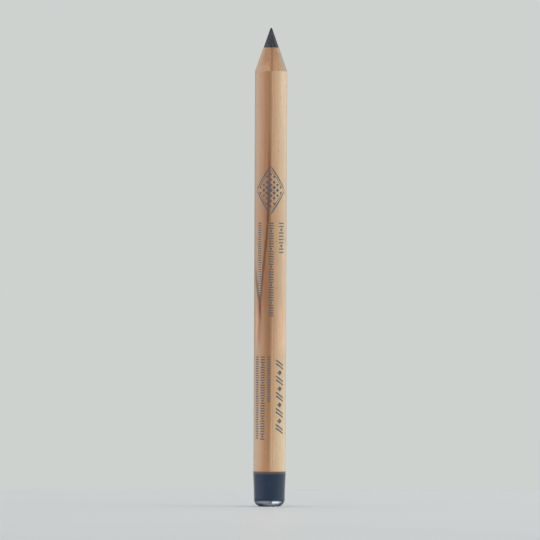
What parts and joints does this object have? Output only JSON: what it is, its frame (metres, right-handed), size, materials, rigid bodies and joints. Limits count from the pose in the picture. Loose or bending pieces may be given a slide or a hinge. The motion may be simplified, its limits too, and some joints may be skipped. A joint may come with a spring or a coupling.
{
  "type": "eyeliner pencil",
  "caption": "Sharpened round wooden eyeliner pencil with a charcoal lead and a navy lacquer dipped foot, standing upright on it.",
  "frame": {"origin": "centre of the foot, on the surface that the pencil stands on", "axes": "+Z along the pencil's axis from the foot to the tip of the lead, +X to the right of the printed front, +Y from the front to the back, with the glued joint of the two halves in the plane through X and Z"},
  "size_m": [0.008, 0.008, 0.116],
  "materials": {
    "cedar": "sanded, thin clear varnish",
    "lead": "waxy, cut smooth by the sharpener",
    "navy_lacquer": "glossy dipped lacquer"
  },
  "bodies": {
    "root": {"casing_front": "cedar", "casing_back": "cedar", "lead_core": "lead", "end_lacquer": "navy_lacquer"}
  },
  "joints": []
}
